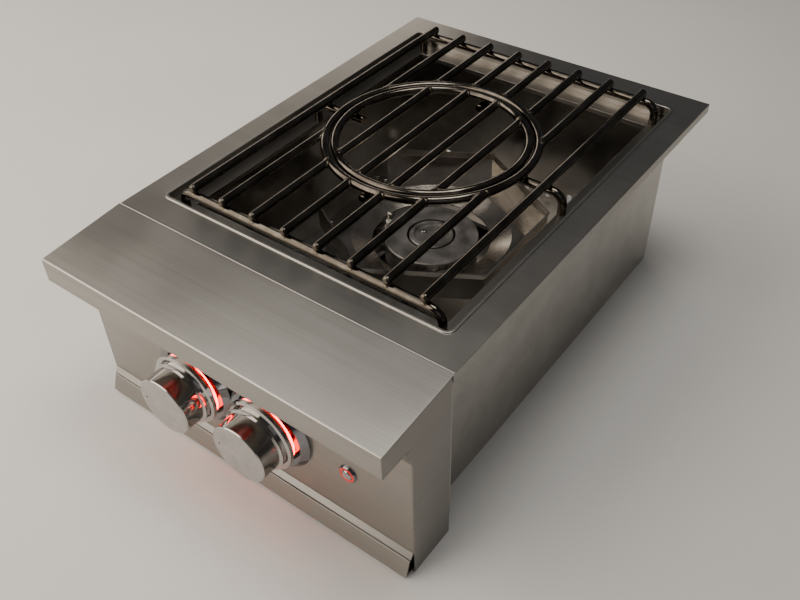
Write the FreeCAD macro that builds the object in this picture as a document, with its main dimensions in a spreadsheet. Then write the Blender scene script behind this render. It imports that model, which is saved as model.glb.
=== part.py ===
import FreeCAD, Part
import math
import os
import re
import Sketcher

# A built-in gas side burner: a drop-in stainless steel firebox with a control box in front.
# Millimetres. X runs to the right, Y to the back, Z up. The origin is the centre of the
# footprint, at the height of the feet.

doc = FreeCAD.newDocument("side_burner")
sheet = doc.addObject("Spreadsheet::Sheet", "sizes")

SIZES = {
    # Top surround
    "rim_width": 464,
    "rim_depth": 585,
    "rim_height": 245,
    "sheet_gauge": 1.5,
    "rim_flange_drop": 12,
    "rim_flange_return": 10,
    "side_margin": 34.5,
    "end_margin": 41.5,
    "well_corner": 6,
    "hem_rise": 1.6,
    "hem_width": 4,
    "hem_drop": 10,
    "bend_radius": 2,
    "fit_gap": 0.1,
    "seat_gap": 0.3,
    # Front hood, control panel and control box
    "hood_reach": 112,
    "hood_fall": 8.5,
    "lip_height": 31,
    "hood_return": 41,
    "panel_reach": 66.5,
    "shoulder_slope": 10.5,
    "shoulder_drop": 26.5,
    "panel_top_flange": 14,
    "panel_foot": 33,
    "strip_flare": 5,
    "strip_height": 7,
    "side_setback": 4,
    "foot_flange": 12,
    # Firebox
    "wall_gauge": 1.2,
    "counter_gap": 3,
    "floor_rise": 11,
    "drain_width": 210,
    "drain_depth": 290,
    "drain_lip": 5,
    "ledge_drop": 18,
    "side_ledge": 20,
    "end_ledge": 24,
    "ledge_lip": 6,
    "vent_width": 7,
    "vent_height": 18,
    "vent_pitch": 36,
    "bracket_hole": 5.5,
    # Grates
    "rod_diameter": 10.5,
    "rod_side_margin": 36.5,
    "rod_height": 18,
    "rod_rounding": 3.5,
    "rod_overhang": 5,
    "cross_inset": 12.5,
    "leg_inset": 16.5,
    "leg_bend": 14,
    "weld_gap": 0.1,
    "ring_side_gap": 32,
    "ring_spacing": 12.2,
    "peg_overhang": 7.5,
    # Burner
    "guard_radius": 150,
    "guard_height": 39,
    "guard_bend_height": 31,
    "guard_flare": 2,
    "dish_depth": 11.5,
    "burner_rise": 86,
    "burner_gap": 17,
    "strap_drop": 39,
    "strap_gauge": 3,
    "strap_width": 40,
    "strap_hole": 27,
    "stand_width": 16,
    "stand_foot": 14,
    "casting_wall": 3,
    "outer_burner_radius": 61,
    "outer_burner_bore": 32,
    "outer_body_height": 26,
    "cap_overhang": 1,
    "cap_skirt": 4,
    "cap_thickness": 4,
    "port_width": 2.2,
    "port_height": 2.6,
    "inner_burner_radius": 24,
    "inner_cap_radius": 29,
    "inner_cap_rise": 1,
    "inner_cap_recess": 2.5,
    "inner_flange_radius": 36,
    "inner_flange_gauge": 4,
    "screw_radius": 2,
    "screw_head_radius": 4,
    "screw_head_height": 2.4,
    "cap_screw_offset": 12,
    # Gas train
    "tube_radius": 10,
    "tube_bore": 8.5,
    "mouth_radius": 14,
    "mouth_length": 14,
    "mouth_start": 8,
    "outer_tube_rise": 14,
    "inner_tube_drop": 19,
    "inner_tube_bend": 30,
    "feed_radius": 3.5,
    "feed_start": 2,
    "feed_bend": 10,
    "orifice_radius": 5,
    "orifice_length": 10,
    "valve_width": 26,
    "valve_length": 30,
    "valve_rise": 36,
    "nipple_radius": 6,
    "valve_setback": 6.5,
    "manifold_radius": 9,
    "manifold_gap": 3,
    "inlet_inset": 25,
    "inlet_radius": 12,
    "inlet_length": 50,
    "inlet_bore": 9.2,
    "inlet_thread_length": 16,
    "clamp_gauge": 3,
    "insulator_radius": 4,
    "electrode_radius": 1.2,
    # Controls
    "knob_lift": 4,
    "bezel_meeting": 11,
    "knob_face": 51.5,
    "knob_share": 0.2484,
    "knob_wall": 2.5,
    "skirt_back": 14.5,
    "skirt_depth": 7,
    "skirt_step": 8.7,
    "bezel_step": 19.7,
    "dot_inset": 9.3,
    "dot_radius": 1.6,
    "bezel_height": 10,
    "bezel_hole": 15,
    "light_step": 4,
    "light_width": 9,
    "stem_radius": 4,
    "stem_boss": 8,
    "stem_hole": 9.5,
    "plunger_radius": 7,
    "plunger_length": 12,
    "plunger_travel": 3.5,
    "running_gap": 0.05,
    "switch_offset": 149.6,
    "switch_drop": 5.5,
    "switch_flange": 11,
    "switch_barrel": 9.4,
    "switch_length": 26,
    "button_radius": 6,
    "button_rise": 3.4,
    "button_travel": 2,
    # Drip tray
    "tray_foot": 3.5,
    "tray_top": 25,
    "tray_side_gap": 19.5,
    "tray_lip": 12,
    "tray_back_gap": 14,
    "tray_strip_gap": 1,
    "tray_strip_flare": 7.5,
    "tray_strip_inset": 2.2,
}

# Sizes that follow from the driving ones, so that the pieces keep meeting when one is changed
DERIVED = {
    # Top surround
    "control_reach": "panel_reach + knob_face",
    "well_width": "rim_width - 2 * side_margin",
    "well_depth": "rim_depth - 2 * end_margin",
    # Control box and firebox
    "panel_top_reach": "panel_reach + shoulder_slope",
    "shoulder_height": "rim_height - hood_fall - lip_height - shoulder_drop",
    "floor_height": "tray_top + floor_rise",
    "rear_panel_foot": "floor_height - 2",
    "vent_sill": "floor_height + 6",
    "bracket_hole_height": "rim_height - 55",
    "bracket_hole_span": "rim_depth - 225",
    # Grates
    "rod_pitch": "(well_width - 2 * rod_side_margin) / 7",
    "outer_ring_radius": "3.5 * rod_pitch - ring_side_gap",
    "inner_ring_radius": "outer_ring_radius - ring_spacing",
    "peg_start": "inner_ring_radius - 1.2 * rod_diameter",
    "peg_end": "outer_ring_radius + peg_overhang",
    # Burner
    "deck_height": "max(floor_height + burner_rise; rim_height / 2 - 0.5)",
    "deck_hole": "outer_burner_radius + burner_gap",
    "deck_screw_spread": "0.4 * guard_radius",
    "dish_radius": "0.7 * guard_radius",
    "strap_height": "deck_height - strap_drop",
    "stand_offset": "0.8 * guard_radius",
    "stand_reach": "0.45 * guard_radius",
    "inner_body_foot": "inner_tube_height - tube_radius - 4",
    "igniter_radius": "(deck_hole + outer_burner_radius + cap_overhang) / 2",
    # Gas train
    "outer_tube_height": "strap_height + outer_tube_rise",
    "inner_tube_height": "strap_height - inner_tube_drop",
    "valve_front": "panel_reach - valve_setback",
    "manifold_reach": "valve_front - valve_length / 2",
    "manifold_height": "knob_height - valve_rise / 2 - manifold_gap - manifold_radius",
    "manifold_right_end": "right_knob_offset + inlet_inset",
    "inlet_offset": "rim_width / 2 - inlet_inset",
    "inlet_foot": "manifold_height + inlet_radius - inlet_length",
    # Controls
    "knob_height": "(shoulder_height + panel_foot) / 2 + knob_lift",
    "knob_radius": "knob_share * (shoulder_height - panel_foot)",
    "dot_offset": "knob_radius - dot_inset",
    "bezel_radius": "knob_radius + bezel_step",
    "bezel_crown": "bezel_radius - 6.5",
    "light_radius": "knob_radius + light_step",
    "skirt_radius": "knob_radius + skirt_step",
    "groove_radius": "knob_radius + 2",
    "lip_radius": "knob_radius + 4",
    "left_knob_offset": "bezel_radius + fit_gap + bezel_meeting",
    "right_knob_offset": "bezel_radius + fit_gap - bezel_meeting",
    "switch_height": "knob_height - switch_drop",
    # Drip tray
    "tray_half_width": "well_width / 2 - tray_side_gap",
    "tray_front_reach": "panel_reach - 4.5",
    "tray_strip_reach": "panel_reach + strip_flare + tray_strip_gap",
}

# How many of each repeated thing there are
ROD_COUNT = 8
OUTER_PORTS = 40
INNER_PORTS = 20
REAR_VENTS = 9

# Places that several pieces share, as expressions of the driving sizes
FRONT = "((control_reach - rim_depth) / 2)"
MID = f"({FRONT} + rim_depth / 2)"
RIM_X = "(rim_width / 2)"
WELL_X = "(well_width / 2)"
WELL_FRONT = f"({MID} - well_depth / 2)"
WELL_REAR = f"({MID} + well_depth / 2)"
WALL_X = f"({WELL_X} + sheet_gauge)"
WALL_FRONT = f"({WELL_FRONT} - sheet_gauge)"
WALL_REAR = f"({WELL_REAR} + sheet_gauge)"
SIDE_REAR = f"({FRONT} - side_setback)"
LIP_FOOT = "(rim_height - hood_fall - lip_height)"
PANEL_Y = f"({FRONT} - panel_reach)"
GRATE_Z = "(rim_height + rod_height)"
CROSS_Z = f"({GRATE_Z} - rod_diameter - weld_gap)"
LEDGE_Z = "(rim_height - ledge_drop)"
ROD_R = "(rod_diameter / 2)"
DECK_UNDER = "(deck_height - wall_gauge)"
OUTER_TOP = "(strap_height + outer_body_height)"
MANIFOLD_Y = f"({FRONT} - manifold_reach)"
VALVE_Y = f"({FRONT} - valve_front)"

# Directions for a shape whose own axis is Z
UP = FreeCAD.Rotation()
ALONG_X = FreeCAD.Rotation(FreeCAD.Vector(0, 1, 0), 90)
ALONG_Y = FreeCAD.Rotation(FreeCAD.Vector(1, 0, 0), -90)
TOWARDS_FRONT = FreeCAD.Rotation(FreeCAD.Vector(1, 0, 0), 90)

NODES = {}


def fill_sheet():
    """Write each driving size into the sheet and give it its alias."""
    for row, (alias, number) in enumerate(SIZES.items(), start=1):
        sheet.set(f"A{row}", alias)
        sheet.set(f"B{row}", str(number))
        sheet.setAlias(f"B{row}", alias)
    doc.recompute()


def expression(text):
    """The same expression in the sheet's own cells, with derived sizes written out."""
    def cell(match):
        word = match.group(0)
        if word in DERIVED:
            return f"({expression(DERIVED[word])})"
        return f"sizes.{word}" if word in SIZES else word
    return re.sub(r"[a-z][a-z_]*", cell, str(text))


def value(text):
    """What an expression of the sizes comes to now."""
    return float(sheet.evalExpression(expression(text)))


def bind(item, **sizes):
    """Bind properties of an object to expressions of the sizes."""
    for name, text in sizes.items():
        item.setExpression(name, expression(text))
    return item


def put(item, x="0", y="0", z="0", turn=UP):
    """Turn an object and bind its place to expressions of the sizes."""
    item.Placement = FreeCAD.Placement(FreeCAD.Vector(), turn)
    for axis, text in (("x", x), ("y", y), ("z", z)):
        item.setExpression(f"Placement.Base.{axis}", expression(text))
    return item


def node(label, item):
    """Name a finished sub-part."""
    item.Label = label
    NODES[label] = item
    return item


def block(low, high):
    """A box between two corners."""
    item = doc.addObject("Part::Box", "block")
    spans = [f"({b}) - ({a})" for a, b in zip(low, high)]
    bind(item, Length=spans[0], Width=spans[1], Height=spans[2])
    return put(item, *low)


def rod(radius, length, x="0", y="0", z="0", turn=UP):
    """A cylinder from its base point along its turned axis."""
    item = bind(doc.addObject("Part::Cylinder", "rod"), Radius=radius, Height=length)
    return put(item, x, y, z, turn)


def elbow(radius, bend, x, y, z, turn):
    """A quarter of a torus round its centre, from the turned X axis to the turned Y axis."""
    item = doc.addObject("Part::Torus", "elbow")
    item.Angle3 = 90
    bind(item, Radius1=bend, Radius2=radius)
    return put(item, x, y, z, turn)


def ring(radius, bend, z):
    """A whole torus lying flat over the middle of the well."""
    item = bind(doc.addObject("Part::Torus", "ring"), Radius1=bend, Radius2=radius)
    return put(item, "0", MID, z)


def join(*items):
    """One solid from several that meet."""
    item = doc.addObject("Part::MultiFuse", "joined")
    item.Shapes = list(items)
    item.Refine = True
    return item


def carve(base, *tools):
    """The base with every tool's space taken out."""
    item = doc.addObject("Part::Cut", "carved")
    item.Base = base
    item.Tool = tools[0] if len(tools) == 1 else join(*tools)
    item.Refine = True
    return item


def common(base, tool):
    """The space that two shapes share."""
    item = doc.addObject("Part::Common", "shared")
    item.Base = base
    item.Tool = tool
    return item


def group(*items):
    """Like pieces that share one node and stay separate solids."""
    item = doc.addObject("Part::Compound", "group")
    item.Links = list(items)
    return item


def rounded(base, radius, chosen):
    """The base with the edges that chosen(edge) picks rounded."""
    doc.recompute()
    size = value(radius)
    numbers = [i for i, edge in enumerate(base.Shape.Edges, start=1) if chosen(edge)]
    item = doc.addObject("Part::Fillet", "rounded")
    item.Base = base
    item.Edges = [(i, size, size) for i in numbers]
    return item


def upright(edge):
    """True for a straight edge along Z."""
    low, high = edge.Vertexes[0].Point, edge.Vertexes[-1].Point
    return abs(low.x - high.x) + abs(low.y - high.y) < 0.01 < abs(low.z - high.z)


def circle_at(axis, place):
    """A test for circular edges whose centre lies at a place along an axis."""
    def chosen(edge):
        centre = getattr(edge.Curve, "Center", None)
        return centre is not None and abs(getattr(centre, axis) - place) < 0.01
    return chosen


def new_body(name):
    """An empty body for sketches and the features made from them."""
    return doc.addObject("PartDesign::Body", name)


def new_sketch(body, plane, offset="0"):
    """A sketch on one of the body's own origin planes, or parallel to it."""
    sketch = body.newObject("Sketcher::SketchObject", "outline")
    origin = [f for f in body.Origin.OriginFeatures if f.Role == plane][0]
    sketch.AttachmentSupport = [(origin, "")]
    sketch.MapMode = "FlatFace"
    if offset != "0":
        sketch.setExpression("AttachmentOffset.Base.z", expression(offset))
    return sketch


def fix(sketch, kind, geometry, vertex, text):
    """Hold one coordinate of a sketch's point to an expression of the sizes."""
    number = value(text)
    rule = Sketcher.Constraint(kind, -1, 1, geometry, vertex, number)
    index = sketch.addConstraint(rule)
    sketch.setExpression(f"Constraints[{index}]", expression(text))


def draw_outline(sketch, points):
    """A closed outline of straight lines through points given as expressions."""
    first = sketch.GeometryCount
    places = [FreeCAD.Vector(value(u), value(v), 0) for u, v in points]
    count = len(places)
    for i in range(count):
        sketch.addGeometry(Part.LineSegment(places[i], places[(i + 1) % count]), False)
    for i in range(count):
        after = first + (i + 1) % count
        sketch.addConstraint(Sketcher.Constraint("Coincident", first + i, 2, after, 1))
    for i, (u, v) in enumerate(points):
        fix(sketch, "DistanceX", first + i, 1, u)
        fix(sketch, "DistanceY", first + i, 1, v)


def draw_circle(sketch, u, v, radius):
    """A circle whose centre and radius are expressions of the sizes."""
    centre = FreeCAD.Vector(value(u), value(v), 0)
    index = sketch.addGeometry(Part.Circle(centre, FreeCAD.Vector(0, 0, 1), value(radius)), False)
    fix(sketch, "DistanceX", index, 3, u)
    fix(sketch, "DistanceY", index, 3, v)
    number = sketch.addConstraint(Sketcher.Constraint("Radius", index, value(radius)))
    sketch.setExpression(f"Constraints[{number}]", expression(radius))


def pad(body, sketch, length):
    """A pad to both sides of the sketch."""
    feature = body.newObject("PartDesign::Pad", "pad")
    feature.Profile = sketch
    feature.SideType = "Symmetric"
    return bind(feature, Length=length)


def cut_through(body, plane, circles=(), outlines=()):
    """Holes right through the body, square to one of its origin planes."""
    sketch = new_sketch(body, plane)
    for circle in circles:
        draw_circle(sketch, *circle)
    for outline in outlines:
        draw_outline(sketch, outline)
    feature = body.newObject("PartDesign::Pocket", "holes")
    feature.Profile = sketch
    feature.SideType = "Symmetric"
    feature.Type = "Length"
    return bind(feature, Length="2 * rim_depth")


def turned_body(points, x="0", y="0", z="0", turn=UP):
    """A body of revolution: an outline of radius and height, turned round its own Z axis."""
    body = new_body("turned")
    sketch = new_sketch(body, "XZ_Plane")
    draw_outline(sketch, points)
    feature = body.newObject("PartDesign::Revolution", "revolution")
    feature.Profile = sketch
    feature.ReferenceAxis = (sketch, ["V_Axis"])
    feature.Angle = 360
    return put(body, x, y, z, turn)


def extruded_body(plane, points, length, x="0", y="0", z="0"):
    """A body padded from one closed outline, to both sides of its plane."""
    body = new_body("profile")
    sketch = new_sketch(body, plane)
    draw_outline(sketch, points)
    pad(body, sketch, length)
    return put(body, x, y, z)


def round_bends(body, radius, places):
    """Round the long bends of a sheet profile, at the given places in its section."""
    doc.recompute()
    shape = body.Shape
    names = []
    for i, edge in enumerate(shape.Edges, start=1):
        low, high = edge.Vertexes[0].Point, edge.Vertexes[-1].Point
        along = abs(low.y - high.y) + abs(low.z - high.z) < 0.01
        for u, v in places:
            if along and math.hypot(low.y - value(u), low.z - value(v)) < 0.01:
                names.append(f"Edge{i}")
    feature = body.newObject("PartDesign::Fillet", "bends")
    feature.Base = (body.Tip if body.Tip != feature else feature.BaseFeature, names)
    body.Tip = feature
    return bind(feature, Radius=radius)


def box_ring(x_in, front_in, rear_in, x_out, front_out, rear_out, low, high):
    """A rectangular ring: an upright-sided block with a smaller one taken out."""
    outer = block((f"-({x_out})", front_out, low), (x_out, rear_out, high))
    inner = block((f"-({x_in})", front_in, f"({low}) - 1"), (x_in, rear_in, f"({high}) + 1"))
    return carve(outer, inner)


def top_surround():
    """The rim: a flat frame with boxed edges outside and a hemmed, down-turned well opening."""
    low = "rim_height - rim_flange_drop"
    outer = block((f"-{RIM_X}", FRONT, low), (RIM_X, f"{FRONT} + rim_depth", "rim_height"))
    shell_x = f"{RIM_X} - sheet_gauge"
    hollow = block(
        (f"-({shell_x})", f"{FRONT} + sheet_gauge", f"{low} + sheet_gauge"),
        (shell_x, f"{FRONT} + rim_depth - sheet_gauge", "rim_height - sheet_gauge"),
    )
    mouth_x = f"{RIM_X} - sheet_gauge - rim_flange_return"
    mouth_inset = "(sheet_gauge + rim_flange_return)"
    mouth = block(
        (f"-({mouth_x})", f"{FRONT} + {mouth_inset}", f"{low} - 1"),
        (mouth_x, f"{FRONT} + rim_depth - {mouth_inset}", f"{low} + sheet_gauge + 1"),
    )
    collar = rounded(
        block(
            (f"-{WALL_X}", WALL_FRONT, "rim_height - hem_drop"),
            (WALL_X, WALL_REAR, "rim_height"),
        ),
        "well_corner + sheet_gauge",
        upright,
    )
    bead_x = f"{WELL_X} + hem_width"
    bead = rounded(
        block(
            (f"-({bead_x})", f"{WELL_FRONT} - hem_width", "rim_height - sheet_gauge"),
            (bead_x, f"{WELL_REAR} + hem_width", "rim_height + hem_rise"),
        ),
        "well_corner + hem_width",
        upright,
    )
    opening = rounded(
        block(
            (f"-{WELL_X}", WELL_FRONT, f"{low} - 5"),
            (WELL_X, WELL_REAR, "rim_height + 10"),
        ),
        "well_corner",
        upright,
    )
    whole = carve(join(carve(outer, hollow, mouth), collar, bead), opening)
    crest = value("rim_height + hem_rise")
    top = value("rim_height")

    def soft_edge(edge):
        box = edge.BoundBox
        level = box.ZMax - box.ZMin < 0.01
        outside = max(abs(box.XMin), abs(box.XMax)) > value(RIM_X) - 0.01
        back = box.YMax > value(f"{FRONT} + rim_depth") - 0.01
        rim_edge = abs(box.ZMax - top) < 0.01 and (outside or back)
        return level and (abs(box.ZMax - crest) < 0.01 or rim_edge)
    node("top_surround", rounded(whole, "hem_rise * 0.6", soft_edge))


def front_hood():
    """The bullnose: one bent sheet that slopes down, drops as a lip and returns beneath."""
    nose = f"({FRONT} - hood_reach)"
    nose_z = "(rim_height - hood_fall)"
    points = [
        (FRONT, "rim_height"),
        (nose, nose_z),
        (nose, LIP_FOOT),
        (f"{nose} + hood_return", LIP_FOOT),
        (f"{nose} + hood_return", f"{LIP_FOOT} + sheet_gauge"),
        (f"{nose} + sheet_gauge", f"{LIP_FOOT} + sheet_gauge"),
        (f"{nose} + sheet_gauge", f"{nose_z} - sheet_gauge"),
        (f"{FRONT} - sheet_gauge", "rim_height - sheet_gauge"),
        (f"{FRONT} - sheet_gauge", "rim_height - hem_drop"),
        (FRONT, "rim_height - hem_drop"),
    ]
    body = extruded_body("YZ_Plane", points, "rim_width")
    round_bends(body, "bend_radius", [(nose, nose_z), (nose, LIP_FOOT)])
    node("front_hood", body)


def control_panel():
    """The face that carries the knobs, bent at its shoulder and flared along its foot."""
    top = f"({LIP_FOOT} - seat_gap)"
    head = f"({FRONT} - panel_top_reach)"
    foot = f"({PANEL_Y} - strip_flare)"
    foot_z = "(panel_foot - strip_height)"
    points = [
        (head, top),
        (PANEL_Y, "shoulder_height"),
        (PANEL_Y, "panel_foot"),
        (foot, foot_z),
        (f"{foot} + sheet_gauge", foot_z),
        (f"{PANEL_Y} + sheet_gauge", "panel_foot"),
        (f"{PANEL_Y} + sheet_gauge", "shoulder_height"),
        (f"{head} + sheet_gauge", f"{top} - sheet_gauge"),
        (f"{head} + panel_top_flange", f"{top} - sheet_gauge"),
        (f"{head} + panel_top_flange", top),
    ]
    body = extruded_body("YZ_Plane", points, "rim_width - 2 * sheet_gauge - 2 * fit_gap")
    holes = [
        ("-left_knob_offset", "knob_height", "stem_hole"),
        ("right_knob_offset", "knob_height", "stem_hole"),
        ("switch_offset", "switch_height", "switch_barrel + fit_gap"),
    ]
    cut_through(body, "XZ_Plane", circles=holes)
    node("control_panel", body)


def control_side(label, side):
    """An end plate of the control box: the section of hood and panel, with a turned-in foot."""
    nose = f"({FRONT} - hood_reach + sheet_gauge + fit_gap)"
    ledge = f"({LIP_FOOT} + sheet_gauge + fit_gap)"
    tail = f"({FRONT} - hood_reach + hood_return + fit_gap)"
    under = "(sheet_gauge + fit_gap)"
    points = [
        (SIDE_REAR, f"rim_height - {under} - hood_fall * side_setback / (hood_reach - sheet_gauge)"),
        (nose, f"rim_height - hood_fall - {under}"),
        (nose, ledge),
        (tail, ledge),
        (tail, f"{LIP_FOOT} - seat_gap"),
        (f"{FRONT} - panel_top_reach", f"{LIP_FOOT} - seat_gap"),
        (PANEL_Y, "shoulder_height"),
        (PANEL_Y, "0"),
        (SIDE_REAR, "0"),
    ]
    plate = extruded_body("YZ_Plane", points, "sheet_gauge", x=f"{side} * ({RIM_X} - sheet_gauge / 2)")
    inner = f"{RIM_X} - foot_flange"
    spans = (f"-{RIM_X}", f"-({inner})") if side < 0 else (inner, RIM_X)
    foot = block((spans[0], PANEL_Y, "0"), (spans[1], SIDE_REAR, "sheet_gauge"))
    node(label, join(plate, foot))


def control_rear_panel():
    """The partition behind the control box, with a hole for each gas feed."""
    points = [
        (f"-{RIM_X}", "rear_panel_foot"),
        (RIM_X, "rear_panel_foot"),
        (RIM_X, "rim_height - rim_flange_drop"),
        (f"-{RIM_X}", "rim_height - rim_flange_drop"),
    ]
    body = extruded_body("XZ_Plane", points, "sheet_gauge", y=f"{SIDE_REAR} + sheet_gauge / 2")
    holes = [
        ("-left_knob_offset", "inner_tube_height", "orifice_radius + 1"),
        ("right_knob_offset", "outer_tube_height", "orifice_radius + 1"),
    ]
    cut_through(body, "XZ_Plane", circles=holes)
    node("control_rear_panel", body)


def firebox_side(label, side):
    """A side wall: it stands on its own turned-in foot and reaches forward to the partition."""
    start = f"({SIDE_REAR} + sheet_gauge)"
    step = f"({WALL_FRONT} - wall_gauge)"
    points = [
        (start, "0"),
        (f"{WALL_REAR} + wall_gauge", "0"),
        (f"{WALL_REAR} + wall_gauge", "rim_height - sheet_gauge"),
        (step, "rim_height - sheet_gauge"),
        (step, "rim_height - rim_flange_drop - counter_gap"),
        (start, "rim_height - rim_flange_drop - counter_gap"),
    ]
    place = f"{side} * ({WALL_X} + wall_gauge / 2)"
    plate = extruded_body("YZ_Plane", points, "wall_gauge", x=place)
    spots = [
        (f"{MID} - bracket_hole_span / 2", "bracket_hole_height", "bracket_hole / 2"),
        (f"{MID} + bracket_hole_span / 2", "bracket_hole_height", "bracket_hole / 2"),
    ]
    cut_through(plate, "YZ_Plane", circles=spots)
    inner = f"{WALL_X} - foot_flange"
    spans = (f"-({WALL_X})", f"-({inner})") if side < 0 else (inner, WALL_X)
    foot = block((spans[0], start, "0"), (spans[1], WALL_REAR, "wall_gauge"))
    node(label, join(plate, foot))


def firebox_front_wall():
    """The wall between the well and the control box, with a close hole for each burner tube."""
    points = [
        (f"-{WALL_X}", "floor_height"),
        (WALL_X, "floor_height"),
        (WALL_X, "rim_height - sheet_gauge"),
        (f"-{WALL_X}", "rim_height - sheet_gauge"),
    ]
    body = extruded_body("XZ_Plane", points, "wall_gauge", y=f"{WALL_FRONT} - wall_gauge / 2")
    holes = [
        ("-left_knob_offset", "inner_tube_height", "tube_radius + seat_gap"),
        ("right_knob_offset", "outer_tube_height", "tube_radius + seat_gap"),
    ]
    cut_through(body, "XZ_Plane", circles=holes)
    node("firebox_front_wall", body)


def firebox_rear_wall():
    """The back wall, with a row of upright air vents above the tray."""
    points = [
        (f"-{WALL_X}", "0"),
        (WALL_X, "0"),
        (WALL_X, "rim_height - sheet_gauge"),
        (f"-{WALL_X}", "rim_height - sheet_gauge"),
    ]
    body = extruded_body("XZ_Plane", points, "wall_gauge", y=f"{WALL_REAR} + wall_gauge / 2")
    slot_x = f"(-(vent_pitch * {REAR_VENTS - 1} + vent_width) / 2)"
    slot = [
        (slot_x, "vent_sill"),
        (f"{slot_x} + vent_width", "vent_sill"),
        (f"{slot_x} + vent_width", "vent_sill + vent_height"),
        (slot_x, "vent_sill + vent_height"),
    ]
    pocket = cut_through(body, "XZ_Plane", outlines=[slot])
    pattern = body.newObject("PartDesign::LinearPattern", "vents")
    pattern.Originals = [pocket]
    pattern.Direction = (pocket.Profile[0], ["H_Axis"])
    pattern.Occurrences = REAR_VENTS
    bind(pattern, Length=f"vent_pitch * {REAR_VENTS - 1}")
    body.Tip = pattern
    node("firebox_rear_wall", body)


def firebox_floor():
    """The floor under the burner, with a lipped drain opening over the drip tray."""
    plate = block(
        (f"-{WALL_X}", WALL_FRONT, "floor_height"),
        (WALL_X, WALL_REAR, "floor_height + wall_gauge"),
    )
    drain_x = "(drain_width / 2)"
    drain_y = "(drain_depth / 2)"
    lip = block(
        (f"-{drain_x} - wall_gauge", f"{MID} - {drain_y} - wall_gauge", "floor_height - drain_lip"),
        (f"{drain_x} + wall_gauge", f"{MID} + {drain_y} + wall_gauge", "floor_height"),
    )
    opening = block(
        (f"-{drain_x}", f"{MID} - {drain_y}", "floor_height - drain_lip - 1"),
        (drain_x, f"{MID} + {drain_y}", "floor_height + wall_gauge + 1"),
    )
    node("firebox_floor", carve(join(plate, lip), opening))


def grate_ledge():
    """The angle ledge round the well that the grate's legs stand on."""
    inner_x = f"{WELL_X} - side_ledge"
    inner_front = f"{WELL_FRONT} + end_ledge"
    inner_rear = f"{WELL_REAR} - end_ledge"
    shelf = box_ring(
        inner_x, inner_front, inner_rear, WALL_X, WALL_FRONT, WALL_REAR,
        f"{LEDGE_Z} - wall_gauge", LEDGE_Z,
    )
    lip = box_ring(
        inner_x, inner_front, inner_rear,
        f"{inner_x} + wall_gauge", f"{inner_front} - wall_gauge", f"{inner_rear} + wall_gauge",
        f"{LEDGE_Z} - ledge_lip", LEDGE_Z,
    )
    node("grate_ledge", join(shelf, lip))


def hexagon(radius, z):
    """A hexagon with corners to the front and back, over the middle of the well."""
    item = doc.addObject("Part::RegularPolygon", "hexagon")
    item.Polygon = 6
    bind(item, Circumradius=radius)
    quarter_turn = FreeCAD.Rotation(FreeCAD.Vector(0, 0, 1), 90)
    return put(item, "0", MID, z, quarter_turn)


def lofted(*sections):
    """A solid with straight faces through the sections."""
    item = doc.addObject("Part::Loft", "loft")
    item.Sections = list(sections)
    item.Solid = True
    item.Ruled = True
    return item


def wind_guard():
    """A six-sided polished collar round the burner, upright and then flared towards its top."""
    inset = "wall_gauge * 2 / sqrt(3)"
    bend = "deck_height + guard_bend_height"
    crest = "deck_height + guard_height"
    outer = lofted(
        hexagon("guard_radius - guard_flare", "deck_height"),
        hexagon("guard_radius - guard_flare", bend),
        hexagon("guard_radius", crest),
    )
    inner = lofted(
        hexagon(f"guard_radius - guard_flare - {inset}", "deck_height - 1"),
        hexagon(f"guard_radius - guard_flare - {inset}", bend),
        hexagon(f"guard_radius - {inset}", crest),
        hexagon(f"guard_radius - {inset}", f"{crest} + 1"),
    )
    node("wind_guard", carve(outer, inner))


def deck_screw_spots():
    """Where the screws stand that hold the deck on its stands."""
    for x in ("-stand_offset", "stand_offset"):
        for y in (f"{MID} - deck_screw_spread", f"{MID} + deck_screw_spread"):
            yield x, y


def burner_deck():
    """The six-sided polished floor of the collar, pressed into a dish round the burner head."""
    edge = "(dish_radius + 4)"
    foot = "guard_radius - guard_flare"
    plate = lofted(hexagon(foot, DECK_UNDER), hexagon(foot, "deck_height"))
    tools = [rod(edge, "4 * wall_gauge", "0", MID, f"{DECK_UNDER} - wall_gauge")]
    for x, y in deck_screw_spots():
        tools.append(rod("screw_radius + fit_gap", "4 * wall_gauge", x, y, f"{DECK_UNDER} - wall_gauge"))
    dish = [
        ("dish_radius", DECK_UNDER),
        (edge, DECK_UNDER),
        (edge, "deck_height"),
        ("dish_radius", "deck_height"),
        ("deck_hole", "deck_height - dish_depth"),
        ("deck_hole", f"{DECK_UNDER} - dish_depth"),
    ]
    node("burner_deck", join(carve(plate, *tools), turned_body(dish, y=MID)))


def burner_stands():
    """Two bent strips under the deck, one at each side, that stand on the firebox floor."""
    floor = "(floor_height + wall_gauge)"
    gauge = "sheet_gauge"
    points = [
        ("-stand_reach", DECK_UNDER),
        ("-stand_reach", f"{floor} + {gauge}"),
        ("-stand_reach - stand_foot", f"{floor} + {gauge}"),
        ("-stand_reach - stand_foot", floor),
        (f"-stand_reach + {gauge}", floor),
        (f"-stand_reach + {gauge}", f"{DECK_UNDER} - {gauge}"),
        (f"stand_reach - {gauge}", f"{DECK_UNDER} - {gauge}"),
        (f"stand_reach - {gauge}", floor),
        ("stand_reach + stand_foot", floor),
        ("stand_reach + stand_foot", f"{floor} + {gauge}"),
        ("stand_reach", f"{floor} + {gauge}"),
        ("stand_reach", DECK_UNDER),
    ]
    stands = []
    for side in (-1, 1):
        strip = extruded_body("YZ_Plane", points, "stand_width", x=f"{side} * stand_offset", y=MID)
        holes = [
            rod("screw_radius + fit_gap", "4 * wall_gauge", x, y, f"{DECK_UNDER} - 3 * wall_gauge")
            for x, y in deck_screw_spots()
        ]
        stands.append(carve(strip, *holes))
    node("burner_stands", group(*stands))


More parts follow.
